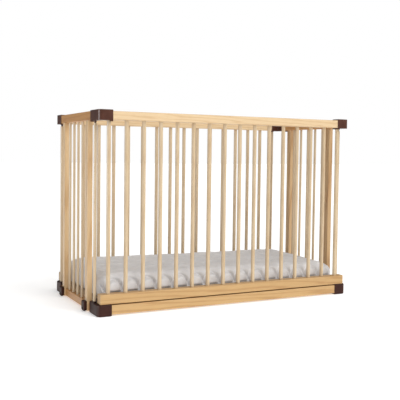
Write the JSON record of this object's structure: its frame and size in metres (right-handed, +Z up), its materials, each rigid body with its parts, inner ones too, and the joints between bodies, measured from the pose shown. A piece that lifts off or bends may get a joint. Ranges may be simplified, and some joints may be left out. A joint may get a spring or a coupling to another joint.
{
  "type": "playpen",
  "caption": "Oblong wooden playpen with barred sides, moulded corner joints, two rollers under one end and a sheeted mattress.",
  "frame": {"origin": "on the floor, midway between the outer faces of the four corner blocks; the rollers overhang the left end by about 16 mm, so the box over everything is centred 8 mm to the left of it", "axes": "+X along the length to the end without rollers, -Y towards the side whose corner piece over the rollers reaches further along the end, +Z up"},
  "size_m": [1.2638, 0.64, 0.84],
  "materials": {
    "pine": "clear satin lacquer",
    "birch_board": "matte",
    "brown_plastic": "fine moulded texture, slightly glossy",
    "grey_sheet": "matte cotton jersey"
  },
  "bodies": {
    "pen": {"front_bar_01": "pine", "front_bar_02": "pine", "front_bar_03": "pine", "front_bar_04": "pine", "front_bar_05": "pine", "front_bar_06": "pine", "front_bar_07": "pine", "front_bar_08": "pine", "front_bar_09": "pine", "front_bar_10": "pine", "front_bar_11": "pine", "front_bar_12": "pine", "front_bar_13": "pine", "front_bar_14": "pine", "front_bar_15": "pine", "front_bar_16": "pine", "back_bar_01": "pine", "back_bar_02": "pine", "back_bar_03": "pine", "back_bar_04": "pine", "back_bar_05": "pine", "back_bar_06": "pine", "back_bar_07": "pine", "back_bar_08": "pine", "back_bar_09": "pine", "back_bar_10": "pine", "back_bar_11": "pine", "back_bar_12": "pine", "back_bar_13": "pine", "back_bar_14": "pine", "back_bar_15": "pine", "back_bar_16": "pine", "front_top_rail": "pine", "front_lower_rail": "pine", "front_base_rail": "pine", "back_top_rail": "pine", "back_lower_rail": "pine", "back_base_rail": "pine", "left_end_frame": "pine", "right_end_frame": "pine", "front_left_corner_bar": "pine", "back_left_corner_bar": "pine", "front_right_corner_bar": "pine", "back_right_corner_bar": "pine", "front_left_cap": "brown_plastic", "back_left_cap": "brown_plastic", "front_right_cap": "brown_plastic", "back_right_cap": "brown_plastic", "front_left_block": "brown_plastic", "back_left_block": "brown_plastic", "front_right_block": "brown_plastic", "back_right_block": "brown_plastic", "front_roller_housing": "brown_plastic", "back_roller_housing": "brown_plastic", "base_board": "birch_board", "mattress": "grey_sheet"},
    "front_roller": {"front_roller": "brown_plastic"},
    "back_roller": {"back_roller": "brown_plastic"}
  },
  "joints": [
    {"name": "front_roller_spin", "type": "hinge", "parent": "pen", "child": "front_roller", "pos_m": [-0.6323, -0.1745, 0.0085], "axis": [0, 1, 0], "continuous": true},
    {"name": "back_roller_spin", "type": "hinge", "parent": "pen", "child": "back_roller", "pos_m": [-0.6323, 0.1745, 0.0085], "axis": [0, 1, 0], "continuous": true}
  ]
}
